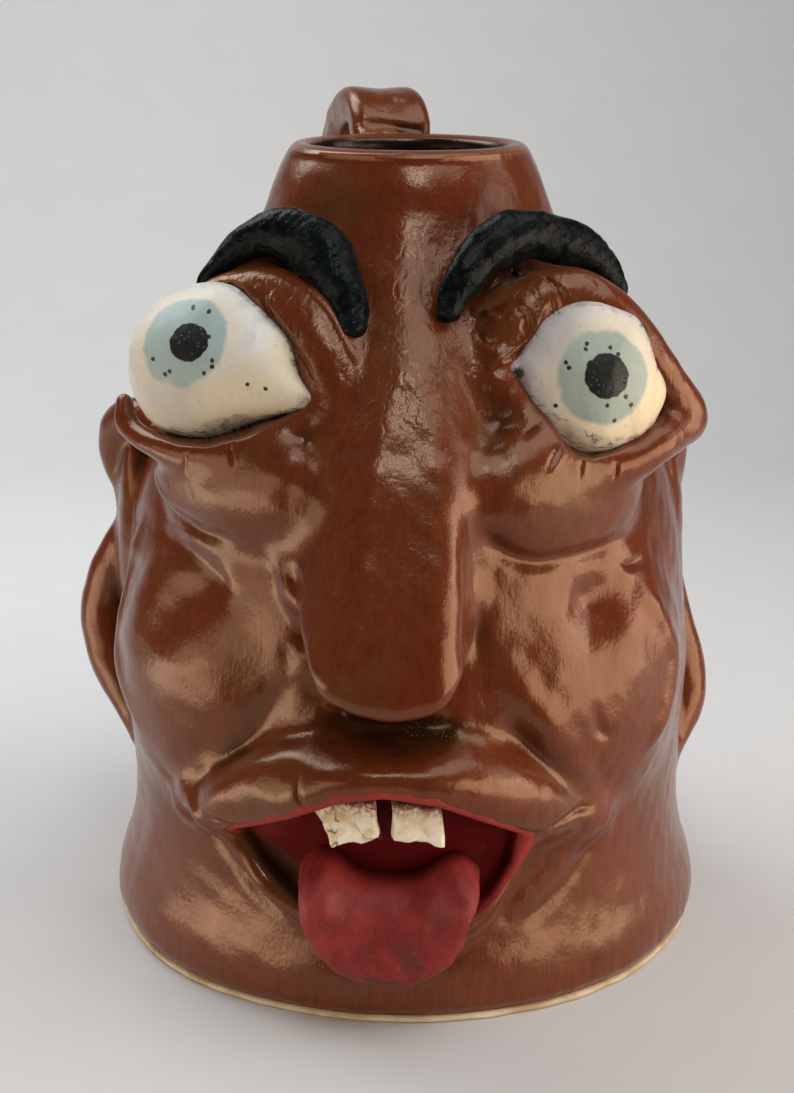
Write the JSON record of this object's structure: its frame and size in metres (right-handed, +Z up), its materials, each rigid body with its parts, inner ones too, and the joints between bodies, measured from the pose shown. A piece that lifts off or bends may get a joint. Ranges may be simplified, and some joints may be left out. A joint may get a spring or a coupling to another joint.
{
  "type": "face jug",
  "caption": "Hand-built glazed stoneware jug with a comic grotesque face, bulging eyes, put-out tongue, side ears and a strap handle at the back.",
  "frame": {"origin": "centre of the flat base's underside, on the surface that the jug stands on", "axes": "+Z up the jug's axis, the face looks along -Y, +X towards the eye on the viewer's right"},
  "size_m": [0.1948, 0.2138, 0.2417],
  "materials": {
    "brown_glaze": "glossy brushed red-brown glaze",
    "bare_clay": "bare fired clay",
    "eye_glaze": "satin cream with a painted iris and pupil",
    "black_slip": "satin black slip",
    "red_slip": "matte red slip",
    "tooth_china": "broken cream china"
  },
  "bodies": {
    "root": {"jug_wall": "brown_glaze", "base_slab": "bare_clay", "handle": "brown_glaze", "left_eyeball": "eye_glaze", "right_eyeball": "eye_glaze", "left_upper_lid": "brown_glaze", "left_lower_lid": "brown_glaze", "right_upper_lid": "brown_glaze", "right_lower_lid": "brown_glaze", "left_eye_bag": "brown_glaze", "right_eye_bag": "brown_glaze", "left_brow": "black_slip", "right_brow": "black_slip", "nose": "brown_glaze", "left_cheek": "brown_glaze", "right_cheek": "brown_glaze", "left_ear": "brown_glaze", "right_ear": "brown_glaze", "upper_lip": "brown_glaze", "lower_lip": "brown_glaze", "mouth_lining": "red_slip", "tongue": "red_slip", "left_tooth": "tooth_china", "right_tooth": "tooth_china"}
  },
  "joints": []
}
